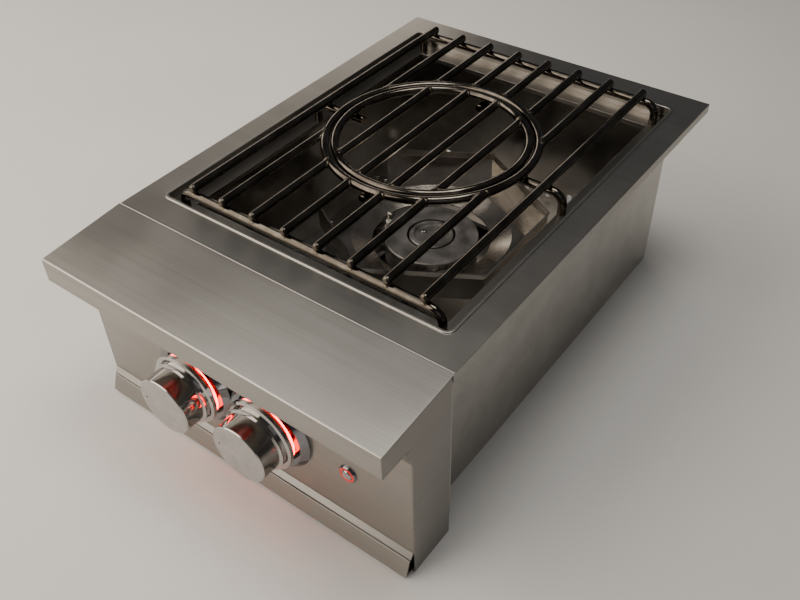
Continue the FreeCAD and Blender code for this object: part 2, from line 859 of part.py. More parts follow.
def screw(x, y, z, length):
    """A pan head screw standing head up, its head seated at z."""
    head = rounded(
        rod("screw_head_radius", "screw_head_height", x, y, z),
        "screw_head_height / 2",
        circle_at("z", value(f"{z} + screw_head_height")),
    )
    return join(head, rod("screw_radius", length, x, y, f"{z} - {length}"))


def deck_screws():
    """The screws that hold the deck down on its stands."""
    spots = deck_screw_spots()
    node("deck_screws", group(*[screw(x, y, "deck_height", "3 * wall_gauge") for x, y in spots]))


def burner_strap():
    """The hanger under the deck on which both burner castings sit."""
    reach = "(stand_offset - stand_width / 2 - 1)"
    low = "(strap_height - strap_gauge)"
    points = [
        (f"-{reach}", low),
        (reach, low),
        (reach, DECK_UNDER),
        (f"{reach} - strap_gauge", DECK_UNDER),
        (f"{reach} - strap_gauge", "strap_height"),
        (f"-{reach} + strap_gauge", "strap_height"),
        (f"-{reach} + strap_gauge", DECK_UNDER),
        (f"-{reach}", DECK_UNDER),
    ]
    hanger = extruded_body("XZ_Plane", points, "strap_width", y=MID)
    wide = rod("outer_burner_radius", "strap_gauge", "0", MID, low)
    hole = rod("strap_hole", "3 * strap_gauge", "0", MID, f"{low} - strap_gauge")
    node("burner_strap", carve(join(hanger, wide), hole))


def tube_path(side_bore, x, height, stop):
    """Straight burner tube with a flared mouth, solid or as the space of its bore."""
    start = f"({FRONT} + mouth_start)"
    neck = f"({start} + mouth_length)"
    radius = "tube_bore" if side_bore else "tube_radius"
    mouth = bind(
        doc.addObject("Part::Cone", "mouth"),
        Radius1="mouth_radius - tube_radius + tube_bore" if side_bore else "mouth_radius",
        Radius2=radius,
        Height="mouth_length",
    )
    put(mouth, x, start, height, ALONG_Y)
    return [mouth, rod(radius, f"({stop}) - {neck}", x, neck, height, ALONG_Y)]


def outer_venturi():
    """The mixing tube of the outer burner: straight from the right valve into the casting."""
    outside = join(*tube_path(False, "right_knob_offset", "outer_tube_height", MID))
    bore = join(*tube_path(True, "right_knob_offset", "outer_tube_height", MID))
    casting = rod("outer_burner_radius + weld_gap", "200", "0", MID, "0")
    tip = block((f"-{WELL_X}", f"{MID} - 1", "0"), (WELL_X, WELL_REAR, "rim_height"))
    node("outer_venturi", carve(outside, bore, casting, tip))


def inner_venturi():
    """The mixing tube of the inner burner: below the other, with one bend into the casting."""
    x = "-left_knob_offset"
    height = "inner_tube_height"
    stop = f"{MID} - inner_tube_bend"

    def path(is_bore):
        radius = "tube_bore" if is_bore else "tube_radius"
        corner = FreeCAD.Rotation(FreeCAD.Vector(0, 0, 1), 90)
        bend_x = f"{x} + inner_tube_bend"
        bend = elbow(radius, "inner_tube_bend", bend_x, stop, height, corner)
        last = rod(radius, "left_knob_offset - inner_tube_bend", bend_x, MID, height, ALONG_X)
        return join(*tube_path(is_bore, x, height, stop), bend, last)
    casting = rod("inner_burner_radius + weld_gap", "200", "0", MID, "0")
    node("inner_venturi", carve(path(False), path(True), casting))


def outer_burner_body():
    """A ring-shaped trough, cast, with its gas inlet in the side."""
    outside = "outer_burner_radius"
    inside = "outer_burner_bore"
    wall = "casting_wall"
    points = [
        (inside, "0"),
        (outside, "0"),
        (outside, "outer_body_height"),
        (f"{outside} - {wall}", "outer_body_height"),
        (f"{outside} - {wall}", wall),
        (f"{inside} + {wall}", wall),
        (f"{inside} + {wall}", "outer_body_height"),
        (inside, "outer_body_height"),
    ]
    trough = turned_body(points, y=MID, z="strap_height")
    inlet = rod("tube_bore", "rim_depth / 2", "right_knob_offset", WELL_FRONT, "outer_tube_height", ALONG_Y)
    hidden = block((f"-{WELL_X}", f"{MID} - strap_width / 4", "0"), (WELL_X, WELL_REAR, "rim_height"))
    node("outer_burner_body", carve(trough, carve(inlet, hidden)))


def slotted_cap(outside, inside, skirt_wall, ports):
    """A burner cap: its skirt is cut by a ring of gas ports, and a whole cap is dished on top."""
    top = "(cap_skirt + cap_thickness)"
    points = [
        (f"{outside} - {skirt_wall}", "0"),
        (outside, "0"),
        (outside, f"{top} - 1.5"),
        (f"{outside} - 1.5", top),
    ]
    if inside == "0":
        points += [
            (f"{outside} - {skirt_wall} - 1", top),
            (f"{outside} - {skirt_wall} - 2.5", f"{top} - inner_cap_recess"),
            ("0", f"{top} - inner_cap_recess"),
            ("0", "cap_skirt"),
            (f"{outside} - {skirt_wall}", "cap_skirt"),
        ]
    else:
        points += [
            (inside, top),
            (inside, "0"),
            (f"{inside} + {skirt_wall}", "0"),
            (f"{inside} + {skirt_wall}", "cap_skirt"),
            (f"{outside} - {skirt_wall}", "cap_skirt"),
        ]
    body = turned_body(points)
    doc.recompute()
    start = f"({outside} - {skirt_wall} - 1)"
    sketch = new_sketch(body, "YZ_Plane", start)
    port = [
        ("-port_width / 2", "-1"),
        ("port_width / 2", "-1"),
        ("port_width / 2", "port_height"),
        ("-port_width / 2", "port_height"),
    ]
    draw_outline(sketch, port)
    pocket = body.newObject("PartDesign::Pocket", "port")
    pocket.Profile = sketch
    pocket.Type = "Length"
    pocket.Reversed = True
    bind(pocket, Length=f"{skirt_wall} + 3")
    pattern = body.newObject("PartDesign::PolarPattern", "ports")
    pattern.Originals = [pocket]
    pattern.Axis = ([f for f in body.Origin.OriginFeatures if f.Role == "Z_Axis"][0], [""])
    pattern.Angle = 360
    pattern.Occurrences = ports
    body.Tip = pattern
    return body


def outer_burner_cap():
    """The slotted ring-shaped cap of the outer burner."""
    outside = "(outer_burner_radius + cap_overhang)"
    body = slotted_cap(outside, "outer_burner_bore", "(casting_wall + cap_overhang)", OUTER_PORTS)
    node("outer_burner_cap", put(body, "0", MID, OUTER_TOP))


def inner_burner_body():
    """The centre casting: a cup that hangs from the strap, its gas inlet in the side."""
    outside = "inner_burner_radius"
    wall = "casting_wall"
    top = f"({OUTER_TOP} + inner_cap_rise - inner_body_foot)"
    seat = "(strap_height - strap_gauge - inner_body_foot)"
    points = [
        ("0", "0"),
        (outside, "0"),
        (outside, f"{seat} - inner_flange_gauge"),
        ("inner_flange_radius", f"{seat} - inner_flange_gauge"),
        ("inner_flange_radius", seat),
        (outside, seat),
        (outside, f"{top} - {wall}"),
        (f"{outside} + {wall}", top),
        (f"{outside} - {wall}", top),
        (f"{outside} - {wall}", wall),
        ("0", wall),
    ]
    cup = turned_body(points, y=MID, z="inner_body_foot")
    inlet = rod("tube_bore", "left_knob_offset", "-left_knob_offset", MID, "inner_tube_height", ALONG_X)
    node("inner_burner_body", carve(cup, inlet))


def inner_burner_cap():
    """The slotted round cap of the centre burner, with two screw holes."""
    body = slotted_cap("inner_cap_radius", "0", "(casting_wall + 2)", INNER_PORTS)
    put(body, "0", MID, f"{OUTER_TOP} + inner_cap_rise")
    tools = [
        rod("screw_radius + fit_gap", "20", f"{side} * cap_screw_offset", MID, OUTER_TOP)
        for side in (-1, 1)
    ]
    node("inner_burner_cap", carve(body, *tools))


def cap_screws():
    """The two screws in the centre cap."""
    top = f"({OUTER_TOP} + inner_cap_rise + cap_skirt + cap_thickness - inner_cap_recess)"
    pair = [screw(f"{side} * cap_screw_offset", MID, top, "10") for side in (-1, 1)]
    node("cap_screws", group(*pair))


def igniter():
    """The spark electrode in the gap beside the outer cap, and the angle that holds it."""
    x = "-igniter_radius"
    low = "(strap_height + 3)"
    plate_z = "(strap_height + 11)"
    insulator = rod("insulator_radius", "22", x, MID, low)
    collar = rod("insulator_radius + 2", "4", x, MID, f"{plate_z} + sheet_gauge")
    wire = rod("electrode_radius", "36", x, MID, low)
    tip_z = f"({low} + 36 - electrode_radius)"
    tip = rod("electrode_radius", "6", f"{x} - electrode_radius", MID, tip_z, ALONG_X)
    node("igniter_electrode", join(insulator, collar, wire, tip))
    outer = f"({x} - 16)"
    shelf = block((outer, f"{MID} - 8", plate_z), (f"{x} + 7", f"{MID} + 8", f"{plate_z} + sheet_gauge"))
    leg = block((outer, f"{MID} - 8", "strap_height"), (f"{outer} + sheet_gauge", f"{MID} + 8", plate_z))
    foot = block(
        (f"{outer} - 10", f"{MID} - 8", "strap_height"),
        (f"{outer} + sheet_gauge", f"{MID} + 8", "strap_height + sheet_gauge"),
    )
    hole = rod("insulator_radius + running_gap", "20", x, MID, low)
    node("igniter_bracket", carve(join(shelf, leg, foot), hole))


def manifold_pipe(radius):
    """The manifold's outline, from the inlet fitting to its closed end."""
    start = "(inlet_radius - inlet_offset)"
    return rod(radius, f"manifold_right_end - {start}", start, MANIFOLD_Y, "manifold_height", ALONG_X)


def gas_manifold():
    """The pipe below both valves, closed by a plug at its right end."""
    plug = rod("manifold_radius + 2", "8", "manifold_right_end", MANIFOLD_Y, "manifold_height", ALONG_X)
    node("gas_manifold", join(manifold_pipe("manifold_radius"), plug))


def gas_inlet_fitting():
    """The elbow on the manifold's left end, with its threaded inlet facing down."""
    x = "-inlet_offset"
    body = rod("inlet_radius", "inlet_length", x, MANIFOLD_Y, "inlet_foot")
    nut = bind(doc.addObject("Part::Prism", "nut"), Circumradius="inlet_radius * 1.15", Height="10")
    nut.Polygon = 6
    put(nut, x, MANIFOLD_Y, "inlet_foot")
    bore = rod("inlet_bore", "inlet_thread_length", x, MANIFOLD_Y, "inlet_foot")
    end = block(
        (f"{x} + inlet_radius", f"{MANIFOLD_Y} - 20", "0"),
        (f"{x} + inlet_radius + 10", f"{MANIFOLD_Y} + 20", "rim_height"),
    )
    stub = rod("manifold_radius + 2", "inlet_radius", x, MANIFOLD_Y, "manifold_height", ALONG_X)
    node("gas_inlet_fitting", carve(join(body, nut, stub), bore, end))


def manifold_brackets():
    """Two plates that hold the manifold on the partition."""
    plates = []
    for x in ("-inlet_offset + 50", "manifold_right_end - 8"):
        plate = block(
            (x, f"{MANIFOLD_Y} - manifold_radius - 4", "manifold_height - manifold_radius - 4"),
            (f"{x} + clamp_gauge", SIDE_REAR, "manifold_height + manifold_radius + 4"),
        )
        hole = rod("manifold_radius + running_gap", "20", f"{x} - 5", MANIFOLD_Y, "manifold_height", ALONG_X)
        plates.append(carve(plate, hole))
    node("manifold_brackets", group(*plates))


def valve_body(label, x):
    """A gas valve on the manifold, bored in front for its plunger."""
    case = block(
        (f"{x} - valve_width / 2", VALVE_Y, "knob_height - valve_rise / 2"),
        (f"{x} + valve_width / 2", f"{VALVE_Y} + valve_length", "knob_height + valve_rise / 2"),
    )
    case = rounded(case, "bend_radius", upright)
    boss = rod("nipple_radius + 5", "4", x, f"{VALVE_Y} - 4", "knob_height", ALONG_Y)
    neck = rod("nipple_radius", "knob_height - manifold_height", x, MANIFOLD_Y, "manifold_height")
    depth = "plunger_length + plunger_travel + 1"
    bore = rod("plunger_radius + running_gap", depth, x, f"{VALVE_Y} - 4", "knob_height", ALONG_Y)
    pipe = manifold_pipe("manifold_radius + weld_gap")
    node(label, carve(join(case, boss, neck), bore, pipe))


def feed_tubes():
    """The outlet pipes from the valves, each ending in the orifice at its burner tube."""
    rear = f"({VALVE_Y} + valve_length)"
    tip = f"({FRONT} + mouth_start + 3)"
    spud = f"({tip} - orifice_length)"
    x = "right_knob_offset"
    pipe = rod("feed_radius", f"{spud} - {rear}", x, rear, "outer_tube_height", ALONG_Y)
    end = rod("orifice_radius", "orifice_length", x, spud, "outer_tube_height", ALONG_Y)
    node("right_feed_tube", join(pipe, end))

    x = "-left_knob_offset"
    turn_y = f"({rear} + feed_start)"
    fall_y = f"({turn_y} + feed_bend)"
    upper = rod("feed_radius", "feed_start", x, rear, "outer_tube_height", ALONG_Y)
    # The first bend turns from level to straight down, the second back to level.
    first = FreeCAD.Rotation(FreeCAD.Vector(0, 0, 1), 90) * FreeCAD.Rotation(FreeCAD.Vector(1, 0, 0), 90)
    second = FreeCAD.Rotation(FreeCAD.Vector(0, 0, 1), -90) * FreeCAD.Rotation(FreeCAD.Vector(1, 0, 0), -90)
    top_bend = elbow("feed_radius", "feed_bend", x, turn_y, "outer_tube_height - feed_bend", first)
    fall = "outer_tube_height - inner_tube_height - 2 * feed_bend"
    drop = rod("feed_radius", fall, x, fall_y, "inner_tube_height + feed_bend")
    foot_y = f"({fall_y} + feed_bend)"
    low_bend = elbow("feed_radius", "feed_bend", x, foot_y, "inner_tube_height + feed_bend", second)
    lower = rod("feed_radius", f"{tip} - 3 - {foot_y}", x, foot_y, "inner_tube_height", ALONG_Y)
    end = rod("orifice_radius", "orifice_length", x, spud, "inner_tube_height", ALONG_Y)
    node("left_feed_tube", join(upper, top_bend, drop, low_bend, lower, end))


def knob_bezel(label, x):
    """The polished dish on the panel round a knob, with a raised rim and a sunk floor."""
    points = [
        ("bezel_hole", "0"),
        ("bezel_radius", "0"),
        ("bezel_radius", "3"),
        ("bezel_crown", "bezel_height"),
        ("light_radius + 1", "bezel_height"),
        ("light_radius + 1", "4"),
        ("bezel_hole", "4"),
    ]
    node(label, turned_body(points, x, PANEL_Y, "knob_height", TOWARDS_FRONT))


def light_ring(label, x):
    """The lit ring that lies in the bezel's floor behind the knob."""
    points = [
        ("light_radius - light_width", "4"),
        ("light_radius", "4"),
        ("light_radius", "7.5"),
        ("light_radius - light_width + 1", "7.5"),
        ("light_radius - light_width", "6.5"),
    ]
    node(label, turned_body(points, x, PANEL_Y, "knob_height", TOWARDS_FRONT))


def knob(label, x):
    """A hollow cast knob: bevelled skirt, groove, thin lip, round grip and a flat face."""
    skirt_front = "(skirt_back + skirt_depth)"
    lip = f"({skirt_front} + 4)"
    cavity = "knob_radius - knob_wall - 1"
    points = [
        ("skirt_radius - 6", "skirt_back"),
        ("skirt_radius - 1", "skirt_back"),
        ("skirt_radius", "skirt_back + 1"),
        ("skirt_radius", f"{skirt_front} - 1.5"),
        ("skirt_radius - 3", skirt_front),
        ("groove_radius", skirt_front),
        ("groove_radius", lip),
        ("lip_radius", lip),
        ("lip_radius", f"{lip} + 1.6"),
        ("knob_radius + 0.6", f"{lip} + 3"),
        ("knob_radius", "knob_face - 1"),
        ("knob_radius - 1", "knob_face"),
        ("0", "knob_face"),
        ("0", "knob_face - knob_wall"),
        (cavity, "knob_face - knob_wall"),
        (cavity, "skirt_back + 4"),
        ("skirt_radius - 6", "skirt_back + 4"),
    ]
    shell = turned_body(points, x, PANEL_Y, "knob_height", TOWARDS_FRONT)
    boss_y = f"{PANEL_Y} - skirt_back"
    boss = rod("stem_boss", "knob_face - knob_wall - skirt_back", x, boss_y, "knob_height", TOWARDS_FRONT)
    bore = rod("stem_radius", "20", x, boss_y, "knob_height", TOWARDS_FRONT)
    dot = rod("dot_radius", "4", f"{x} - dot_offset", f"{PANEL_Y} - knob_face + 0.8", "knob_height", TOWARDS_FRONT)
    node(label, carve(join(shell, boss), bore, dot))


def valve_stem(label, x):
    """The shaft from inside the plunger to the bottom of the knob's socket."""
    start = f"({VALVE_Y} - 4 + plunger_length - 2)"
    length = f"{start} - ({PANEL_Y} - skirt_back - 20)"
    node(label, rod("stem_radius", length, x, start, "knob_height", TOWARDS_FRONT))


def valve_plunger(label, x):
    """The sliding sleeve in the valve's mouth that a press on the knob pushes in."""
    sleeve = rod("plunger_radius", "plunger_length", x, f"{VALVE_Y} - 4", "knob_height", ALONG_Y)
    bore = rod("stem_radius + running_gap", "plunger_length - 2", x, f"{VALVE_Y} - 4", "knob_height", ALONG_Y)
    node(label, carve(sleeve, bore))


def light_switch():
    """The round push switch of the lighting: body, lit ring, clamping nut and button."""
    place = dict(x="switch_offset", y=PANEL_Y, z="switch_height", turn=TOWARDS_FRONT)
    socket = "(button_radius + running_gap)"
    body = [
        ("0", "-switch_length"),
        ("switch_barrel", "-switch_length"),
        ("switch_barrel", "0"),
        ("switch_flange", "0"),
        ("switch_flange", "1.6"),
        ("switch_flange - 0.9", "2.5"),
        ("switch_flange - 2", "2.5"),
        ("switch_flange - 2", "1.5"),
        ("switch_flange - 3.8", "1.5"),
        ("switch_flange - 3.8", "2.5"),
        (socket, "2.5"),
        (socket, "-8"),
        ("0", "-8"),
    ]
    node("switch_body", turned_body(body, **place))
    lens = [
        ("switch_flange - 3.8", "1.5"),
        ("switch_flange - 2", "1.5"),
        ("switch_flange - 2", "2.8"),
        ("switch_flange - 3.8", "2.8"),
    ]
    node("switch_light_ring", turned_body(lens, **place))
    button = [
        ("0", "-4.5"),
        ("button_radius", "-4.5"),
        ("button_radius", "button_rise - 0.6"),
        ("button_radius - 0.6", "button_rise"),
        ("0", "button_rise - 0.3"),
    ]
    node("light_button", turned_body(button, **place))
    nut = bind(doc.addObject("Part::Prism", "nut"), Circumradius="switch_barrel + 4", Height="5")
    nut.Polygon = 6
    put(nut, "switch_offset", f"{PANEL_Y} + sheet_gauge", "switch_height", ALONG_Y)
    bore = rod("switch_barrel", "20", "switch_offset", PANEL_Y, "switch_height", ALONG_Y)
    node("switch_nut", carve(nut, bore))


def rod_places():
    """How far each long rod lies from the middle, from left to right."""
    for i in range(ROD_COUNT):
        yield f"({i - (ROD_COUNT - 1) / 2} * rod_pitch)"


def long_rod(x, start, stop):
    """A long grate rod between two places in Y."""
    return rod(ROD_R, f"({stop}) - ({start})", x, start, GRATE_Z, ALONG_Y)


def main_grate_rods():
    """The long rods: the outer two whole, the others cut off at the outer ring."""
    front = f"({WELL_FRONT} + cross_inset - rod_overhang)"
    rear = f"({WELL_REAR} - cross_inset + rod_overhang)"
    places = list(rod_places())
    ends = [value(front), value(rear)]

    def tip(edge):
        return any(circle_at("y", end)(edge) for end in ends)
    outer = [long_rod(x, front, rear) for x in (places[0], places[-1])]
    node("grate_full_rods", rounded(group(*outer), "rod_rounding", tip))
    for label, start, stop in (("grate_front_rods", front, MID), ("grate_rear_rods", MID, rear)):
        stubs = rounded(group(*[long_rod(x, start, stop) for x in places[1:-1]]), "rod_rounding", tip)
        weld = ring(f"{ROD_R} + weld_gap", "outer_ring_radius", GRATE_Z)
        inside = rod("outer_ring_radius", "4 * rod_diameter", "0", MID, f"{GRATE_Z} - 2 * rod_diameter")
        node(label, carve(stubs, weld, inside))


def cross_rod(label, y):
    """A cross rod under the long ones, with both ends bent down into legs."""
    reach = f"({WELL_X} - leg_inset)"
    bend_x = f"({reach} - leg_bend)"
    bend_z = f"({CROSS_Z} - leg_bend)"
    foot = f"({LEDGE_Z} + seat_gap)"
    upright_turn = FreeCAD.Rotation(FreeCAD.Vector(1, 0, 0), 90)
    mirrored = upright_turn * FreeCAD.Rotation(FreeCAD.Vector(0, 0, 1), 90)
    pieces = [rod(ROD_R, f"2 * {bend_x}", f"-{bend_x}", y, CROSS_Z, ALONG_X)]
    for side, turn in ((1, upright_turn), (-1, mirrored)):
        pieces.append(elbow(ROD_R, "leg_bend", f"{side} * {bend_x}", y, bend_z, turn))
        pieces.append(rod(ROD_R, f"{bend_z} - {foot}", f"{side} * {reach}", y, foot))
    node(label, join(*pieces))


def grate_arms():
    """The two short side arms from under the outer ring down to the ledge."""
    reach = f"({WELL_X} - leg_inset)"
    bend_x = f"({reach} - leg_bend)"
    bend_z = f"({CROSS_Z} - leg_bend)"
    foot = f"({LEDGE_Z} + seat_gap)"
    start = "peg_start"
    upright_turn = FreeCAD.Rotation(FreeCAD.Vector(1, 0, 0), 90)
    mirrored = upright_turn * FreeCAD.Rotation(FreeCAD.Vector(0, 0, 1), 90)
    arms = []
    for side, turn in ((1, upright_turn), (-1, mirrored)):
        base_x = start if side > 0 else f"-{bend_x}"
        level = rod(ROD_R, f"{bend_x} - {start}", base_x, MID, CROSS_Z, ALONG_X)
        bend = elbow(ROD_R, "leg_bend", f"{side} * {bend_x}", MID, bend_z, turn)
        leg = rod(ROD_R, f"{bend_z} - {foot}", f"{side} * {reach}", MID, foot)
        arms.append(join(level, bend, leg))
    node("grate_arms", group(*arms))


def ring_pegs():
    """Two short pegs under the rings, front and back; with the arms they carry the centre grate."""
    pegs = [
        rod(ROD_R, "peg_end - peg_start", "0", f"{MID} - peg_end", CROSS_Z, ALONG_Y),
        rod(ROD_R, "peg_end - peg_start", "0", f"{MID} + peg_start", CROSS_Z, ALONG_Y),
    ]
    pegs = rounded(group(*pegs), "rod_rounding / 2", lambda edge: edge.Length > value("3 * rod_diameter"))
    node("ring_pegs", pegs)


def grate_rings():
    """The outer ring of the main grate, and the lift-out centre grate inside it."""
    node("grate_outer_ring", ring(ROD_R, "outer_ring_radius", GRATE_Z))
    lifted = f"({GRATE_Z} + seat_gap - weld_gap)"
    node("centre_ring", ring(ROD_R, "inner_ring_radius", lifted))
    places = [x for x in rod_places() if abs(value(x)) + value(ROD_R) < value("inner_ring_radius - rod_diameter")]
    bars = [
        rod(ROD_R, "2 * inner_ring_radius", x, f"{MID} - inner_ring_radius", lifted, ALONG_Y)
        for x in places
    ]
    disc = rod("inner_ring_radius", "4 * rod_diameter", "0", MID, f"{lifted} - 2 * rod_diameter")
    weld = ring(f"{ROD_R} + weld_gap", "inner_ring_radius", lifted)
    node("centre_rods", carve(common(group(*bars), disc), weld))


def tray_rails():
    """Two angles on the side walls, on which the tray's lips run."""
    start = f"{SIDE_REAR} + sheet_gauge"
    lip_under = "(tray_top - wall_gauge - seat_gap)"
    rails = []
    for side in (-1, 1):
        reach = "(tray_half_width + 2)"
        spans = (f"-{WALL_X}", f"-{reach}") if side < 0 else (reach, WALL_X)
        shelf = block((spans[0], start, f"{lip_under} - wall_gauge"), (spans[1], WALL_REAR, lip_under))
        spans = (f"-{WALL_X}", f"-{WALL_X} + wall_gauge") if side < 0 else (f"{WALL_X} - wall_gauge", WALL_X)
        flange = block((spans[0], start, f"{lip_under} - wall_gauge"), (spans[1], WALL_REAR, f"{lip_under} + 8"))
        rails.append(join(shelf, flange))
    node("tray_rails", group(*rails))


def drip_tray():
    """The sliding grease tray: a shallow open pan with a lip along each side."""
    front = f"({FRONT} - tray_front_reach)"
    rear = f"({WALL_REAR} - tray_back_gap)"
    half = "tray_half_width"
    pan = block((f"-{half}", front, "tray_foot"), (half, rear, "tray_top"))
    lips = block(
        (f"-{half} - tray_lip", f"{front} + 70", "tray_top - wall_gauge"),
        (f"{half} + tray_lip", rear, "tray_top"),
    )
    hollow = block(
        (f"-{half} + wall_gauge", f"{front} + wall_gauge", "tray_foot + wall_gauge"),
        (f"{half} - wall_gauge", f"{rear} - wall_gauge", "tray_top + 1"),
    )
    node("drip_tray", carve(join(pan, lips), hollow))


def tray_front():
    """The flared front strip of the tray, turned back under it as a finger pull."""
    head = f"({FRONT} - tray_strip_reach)"
    foot = f"({head} - tray_strip_flare)"
    back = f"({FRONT} - tray_front_reach)"
    points = [
        (head, "tray_top"),
        (foot, "tray_foot"),
        (back, "tray_foot"),
        (back, "tray_foot + sheet_gauge"),
        (f"{foot} + 1.5 * sheet_gauge", "tray_foot + sheet_gauge"),
        (f"{head} + sheet_gauge", "tray_top"),
    ]
    node("tray_front", extruded_body("YZ_Plane", points, "rim_width - 2 * tray_strip_inset"))


def build():
    """Make every sub-part."""
    fill_sheet()
    top_surround()
    front_hood()
    control_panel()
    control_side("control_side_left", -1)
    control_side("control_side_right", 1)
    control_rear_panel()
    firebox_side("firebox_left_wall", -1)
    firebox_side("firebox_right_wall", 1)
    firebox_front_wall()
    firebox_rear_wall()
    firebox_floor()
    grate_ledge()
    wind_guard()
    burner_deck()
    burner_stands()
    deck_screws()
    burner_strap()
    outer_burner_body()
    outer_burner_cap()
    inner_burner_body()
    inner_burner_cap()
    cap_screws()
    outer_venturi()
    inner_venturi()
    igniter()
    gas_manifold()
    gas_inlet_fitting()
    manifold_brackets()
    feed_tubes()
    for side, x in (("left", "-left_knob_offset"), ("right", "right_knob_offset")):
        valve_body(f"{side}_valve_body", x)
        valve_plunger(f"{side}_valve_plunger", x)
        valve_stem(f"{side}_valve_stem", x)
        knob_bezel(f"{side}_bezel", x)
        light_ring(f"{side}_light_ring", x)
        knob(f"{side}_knob", x)
    light_switch()
    main_grate_rods()
    cross_rod("grate_cross_front", f"{WELL_FRONT} + cross_inset")
    cross_rod("grate_cross_rear", f"{WELL_REAR} - cross_inset")
    grate_arms()
    ring_pegs()
    grate_rings()
    tray_rails()
    drip_tray()
    tray_front()


def check_document():
    """Stop if any object failed, or a sub-part has no valid shape."""
    doc.recompute()
    failed = [item.Name for item in doc.Objects if {"Invalid", "Error"} & set(item.State)]
    if failed:
        raise RuntimeError(f"these objects failed: {failed}")
    for label, item in NODES.items():
        shape = item.Shape
        if shape.isNull() or not shape.Solids or not shape.isValid():
            raise RuntimeError(f"{label} has no valid shape")


def write_parts():
    """Write each sub-part to its own file."""
    os.makedirs("parts", exist_ok=True)
    for label, item in NODES.items():
        item.Shape.exportStep(f"parts/{label}.step")


build()
check_document()
write_parts()
print(len(NODES), "sub-parts")
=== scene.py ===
import bpy
import numpy as np
from mathutils import Matrix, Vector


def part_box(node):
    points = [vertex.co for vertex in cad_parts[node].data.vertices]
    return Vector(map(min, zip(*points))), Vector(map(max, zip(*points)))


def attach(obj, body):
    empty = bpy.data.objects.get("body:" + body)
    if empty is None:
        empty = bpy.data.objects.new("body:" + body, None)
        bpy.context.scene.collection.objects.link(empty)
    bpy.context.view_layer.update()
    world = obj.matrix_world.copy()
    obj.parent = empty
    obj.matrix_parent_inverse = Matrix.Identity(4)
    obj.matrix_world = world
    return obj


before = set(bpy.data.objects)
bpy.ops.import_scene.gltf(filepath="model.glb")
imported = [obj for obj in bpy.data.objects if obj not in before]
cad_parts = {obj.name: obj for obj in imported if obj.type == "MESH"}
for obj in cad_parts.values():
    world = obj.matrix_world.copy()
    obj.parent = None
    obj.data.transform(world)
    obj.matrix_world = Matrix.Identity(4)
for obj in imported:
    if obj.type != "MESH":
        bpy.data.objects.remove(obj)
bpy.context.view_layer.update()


# Camera
# It looks down over the right front corner, from about arm's length above the grate.
# Its place, turn and lens come from the straight sheet edges and the two rings.
def put(thing, across, up, back, spot):
    """Adds an object to the scene at a spot, its own X, Y and Z along three unit directions."""
    bpy.context.scene.collection.objects.link(thing)
    axes = np.eye(4)
    axes[:3] = np.stack([across, up, back, spot], axis=1)
    thing.matrix_world = Matrix(axes.tolist())


focal_length, image_width, image_shift = 914.0, 800.0, 9.5  # pixels
sensor_width = 36.0  # millimetres
eye = np.array([0.54597, -0.71840, 0.85550])  # metres
turn, dip, roll = np.radians([-38.5, 41.95, -2.2])
ahead = np.array([np.sin(turn) * np.cos(dip), np.cos(turn) * np.cos(dip), -np.sin(dip)])
level = np.array([np.cos(turn), -np.sin(turn), 0.0])
upright = np.cross(level, ahead)
side = np.cos(roll) * level + np.sin(roll) * upright
top = np.cos(roll) * upright - np.sin(roll) * level
camera = bpy.data.objects.new("camera", bpy.data.cameras.new("camera"))
put(camera, side, top, -ahead, eye)
camera.data.sensor_width = sensor_width
camera.data.lens = focal_length / image_width * sensor_width
camera.data.shift_x = image_shift / image_width
camera.data.clip_start, camera.data.clip_end = 0.02, 60.0
bpy.context.scene.camera = camera


# Studio
# A plain pale floor in a dim pale room. A wide soft box stands before the left front corner, two
# hang over the hood and the grate, one behind the left draws a thin line along the rods, and a
# weak one fills the right.
def linear(code):
    """An sRGB hex colour as linear values: (c + 0.055) / 1.055 to the power 2.4, or c / 12.92 when
    it is dark."""
    c = np.array([int(code[i:i + 2], 16) for i in (1, 3, 5)]) / 255.0
    return (*np.where(c < 0.04045, c / 12.92, ((c + 0.055) / 1.055) ** 2.4).tolist(), 1.0)


def add(material, kind, settings, links):
    """One shader node with its settings and links, each by the name or number of an input."""
    node = material.node_tree.nodes.new("ShaderNode" + kind)
    for name, setting in settings.items():
        if name == "stops":
            while len(node.color_ramp.elements) < len(setting):
                node.color_ramp.elements.new(0.5)
            for stop, (position, code) in zip(node.color_ramp.elements, setting):
                stop.position, stop.color = position, linear(code)
        elif isinstance(name, int) or name in node.inputs:
            node.inputs[name].default_value = setting
        else:
            setattr(node, name, setting)
    for name, source in links.items():
        material.node_tree.links.new(source, node.inputs[name])
    return node


def surface(name, **settings):
    """A new material with one principled shader, and the coordinates of the object in metres, so
    that a pattern's scale counts its features per metre: 1000 draws them 1 mm wide."""
    material = bpy.data.materials.new(name)
    material.use_nodes = True
    shader = material.node_tree.nodes["Principled BSDF"]
    for socket, setting in settings.items():
        shader.inputs[socket.replace("_", " ")].default_value = setting
    place = add(material, "TexCoord", {}, {}).outputs["Object"]
    return material, shader, place


def finish(material, shader, tone, rough=None, relief=None):
    """Joins worked-out tone, roughness and relief to the shader's sockets."""
    material.node_tree.links.new(tone, shader.inputs["Base Color"])
    if rough:
        material.node_tree.links.new(rough, shader.inputs["Roughness"])
    if relief:
        material.node_tree.links.new(relief, shader.inputs["Normal"])
    return material


